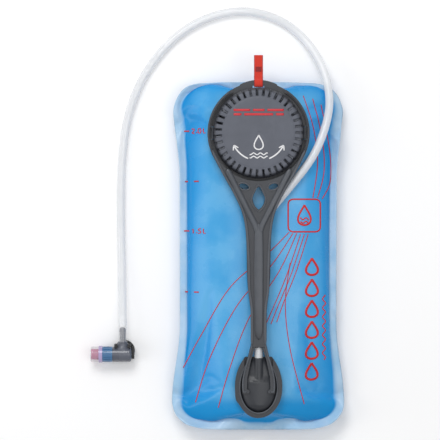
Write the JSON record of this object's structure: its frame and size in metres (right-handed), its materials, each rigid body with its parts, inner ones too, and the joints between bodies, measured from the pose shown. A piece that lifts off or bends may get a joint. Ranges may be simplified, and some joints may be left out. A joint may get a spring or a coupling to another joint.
{
  "type": "hydration bladder",
  "caption": "Soft water reservoir with a screw cap, moulded handle, drinking hose and twist-lock bite valve, lying on its back.",
  "frame": {"origin": "centre of the reservoir's box in X and Y, without its hose, on the surface it lies on", "axes": "+X across the reservoir to the right when the cap is seen from the front, +Y towards the hang tab, +Z away from the surface it lies on"},
  "size_m": [0.2663, 0.447, 0.0585],
  "materials": {
    "film": "satin",
    "neck_plastic": "satin",
    "cap_plastic": "fine matte grain",
    "handle_plastic": "fine matte grain",
    "port_plastic": "satin",
    "webbing": "woven",
    "hose_clear": "glossy clear",
    "seal_rubber": "matte",
    "valve_grey": "satin",
    "sleeve_blue": "translucent",
    "ring_lilac": "translucent",
    "silicone_clear": "soft clear",
    "silicone_pink": "soft matte",
    "clip_black": "matte",
    "magnet_metal": "plated"
  },
  "bodies": {
    "reservoir": {"front_film": "film", "back_film": "film", "fill_neck": "neck_plastic", "handle_frame": "handle_plastic", "strap_wrap": "webbing", "port_base": "port_plastic", "port_bezel": "port_plastic", "port_barb": "valve_grey", "port_o_ring": "seal_rubber", "hose": "hose_clear", "valve_stem": "valve_grey", "swivel_o_ring": "seal_rubber"},
    "strap": {"strap_tail": "webbing"},
    "seal_carrier": {"cap_seal": "seal_rubber"},
    "cap": {"cap_shell": "cap_plastic", "cap_thread_ring": "cap_plastic"},
    "elbow": {"elbow_housing": "valve_grey", "magnet_clip": "clip_black", "magnet_disc": "magnet_metal", "magnet_cover": "clip_black"},
    "bite_end": {"shutoff_sleeve": "sleeve_blue", "valve_spindle": "valve_grey", "spindle_o_ring": "seal_rubber", "retaining_ring": "ring_lilac", "bite_diaphragm": "silicone_pink", "mouthpiece": "silicone_clear"}
  },
  "joints": [
    {"name": "cap_lift", "type": "slide", "parent": "reservoir", "child": "seal_carrier", "axis": [0, 0, 1], "range_m": [0, 0.0051]},
    {"name": "cap_turn", "type": "hinge", "parent": "seal_carrier", "child": "cap", "pos_m": [0, 0.1155, 0.05], "axis": [0, 0, 1], "range_deg": [0, 360]},
    {"name": "strap_swing", "type": "hinge", "parent": "reservoir", "child": "strap", "pos_m": [0, 0.174, 0.045], "axis": [1, 0, 0], "range_deg": [-80, 90]},
    {"name": "elbow_swivel", "type": "hinge", "parent": "reservoir", "child": "elbow", "pos_m": [-0.143, -0.1, 0.014], "axis": [0, 1, 0], "continuous": true},
    {"name": "shutoff_twist", "type": "hinge", "parent": "elbow", "child": "bite_end", "pos_m": [-0.155, -0.117, 0.014], "axis": [1, 0, 0], "range_deg": [0, 90]}
  ],
  "couplings": [
    {"joint": "cap_lift", "follows": "cap_turn", "m_per_rad": 0.000796}
  ]
}
